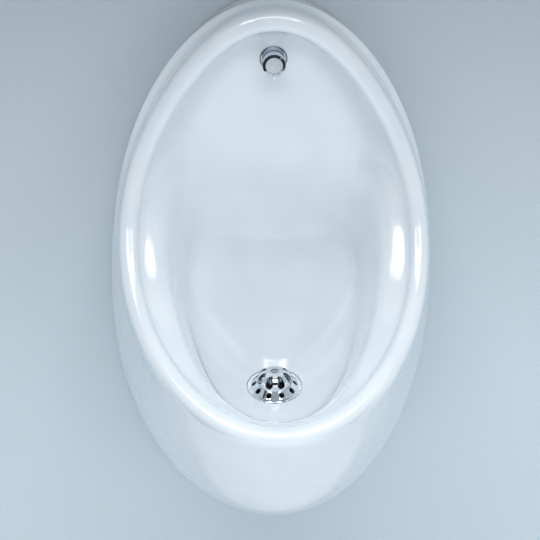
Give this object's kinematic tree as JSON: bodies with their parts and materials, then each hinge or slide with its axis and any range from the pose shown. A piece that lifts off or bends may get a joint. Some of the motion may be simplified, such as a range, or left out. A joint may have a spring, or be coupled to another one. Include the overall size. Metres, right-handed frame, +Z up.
{
  "type": "wall hung urinal",
  "caption": "Wall hung egg-shaped bowl with rolled rim, flush spreader, slotted dome strainer, bottle trap and hidden wall hangers.",
  "frame": {"origin": "centre of the water inlet's thread, in the plane of the wall's face", "axes": "+Z up along the height, +Y into the wall, so the bowl stands out along -Y, +X to the right as seen from the room"},
  "size_m": [0.3898, 0.363, 0.6577],
  "materials": {
    "china": "white glaze over vitreous china, raw on the back edge",
    "chrome": "polished chrome plate on brass",
    "stainless": "plain stainless steel",
    "rubber": "black moulded rubber",
    "nylon": "grey nylon",
    "brass": "plain turned brass",
    "white_plastic": "white moulded polypropylene",
    "zinc_steel": "zinc plated steel"
  },
  "bodies": {
    "base": {"bowl": "china", "spreader_body": "chrome", "waste_body": "chrome", "spreader_o_ring": "rubber", "spreader_front_gasket": "rubber", "spreader_back_gasket": "rubber", "waste_top_seal": "rubber", "waste_under_gasket": "rubber", "trap_inlet_washer": "rubber", "trap_cup_ring": "rubber", "outlet_washer": "rubber", "hanger_pads": "rubber", "spreader_slip_washer": "nylon", "waste_slip_washer": "nylon", "wall_plugs": "nylon", "spreader_backnut": "brass", "waste_backnut": "brass", "trap_union_nut": "white_plastic", "trap_body": "white_plastic", "trap_dip_tube": "white_plastic", "trap_cup": "white_plastic", "outlet_union_nut": "white_plastic", "outlet_pipe": "white_plastic", "hanger_left": "zinc_steel", "hanger_right": "zinc_steel", "hanger_washers": "zinc_steel", "hanger_screws": "zinc_steel"},
    "strainer": {"strainer_dome": "chrome", "strainer_screw": "stainless"},
    "cap": {"spreader_cap": "chrome", "spreader_grub_screw": "chrome"}
  },
  "joints": [
    {"name": "strainer_lift", "type": "slide", "parent": "base", "child": "strainer", "axis": [0, 0, 1], "range_m": [0, 0.06]},
    {"name": "spreader_cap_turn", "type": "hinge", "parent": "base", "child": "cap", "pos_m": [0, -0.055, 0], "axis": [0, 1, 0], "range_deg": [-30, 30]}
  ]
}
